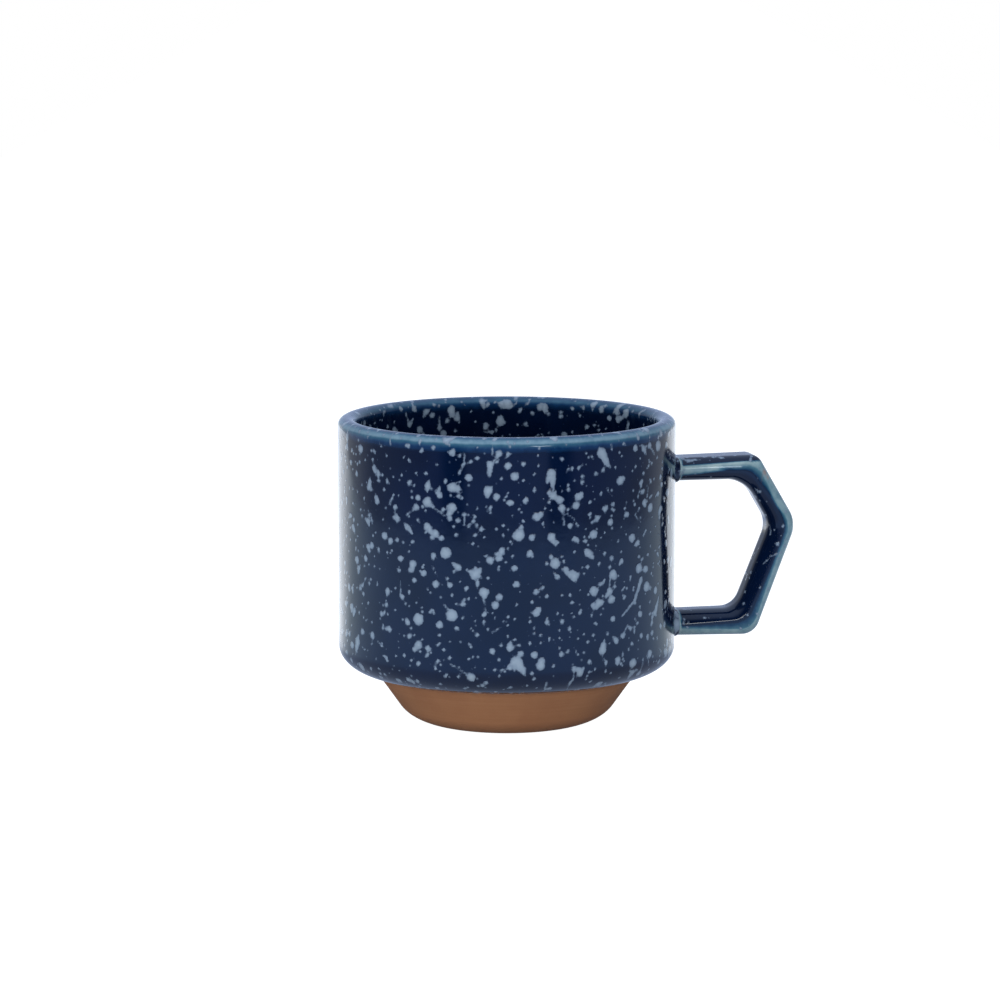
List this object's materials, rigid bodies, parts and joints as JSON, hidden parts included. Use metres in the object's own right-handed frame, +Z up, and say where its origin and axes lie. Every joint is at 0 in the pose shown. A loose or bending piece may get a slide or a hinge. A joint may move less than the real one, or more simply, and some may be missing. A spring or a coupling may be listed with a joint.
{
  "type": "ceramic mug",
  "caption": "Straight-walled ceramic mug with a bent strap handle, dark glaze inside and out, and a tapered bare-clay foot that drops into the mouth of a mug below.",
  "frame": {"origin": "centre of the flat resting face under the foot, on the cup's axis", "axes": "+Z up through the mouth, +X from the cup's axis towards the handle, +Y across the handle's width"},
  "size_m": [0.1165, 0.085, 0.0775],
  "materials": {
    "bare_clay": "matte, unglazed",
    "joining_slip": "matte, under glaze",
    "navy_glaze": "gloss, with light blue spatter"
  },
  "bodies": {
    "root": {"clay_cup": "bare_clay", "clay_handle": "bare_clay", "upper_slip_joint": "joining_slip", "lower_slip_joint": "joining_slip", "inside_glaze_coat": "navy_glaze", "outside_glaze_coat": "navy_glaze", "handle_glaze_coat": "navy_glaze"}
  },
  "joints": []
}
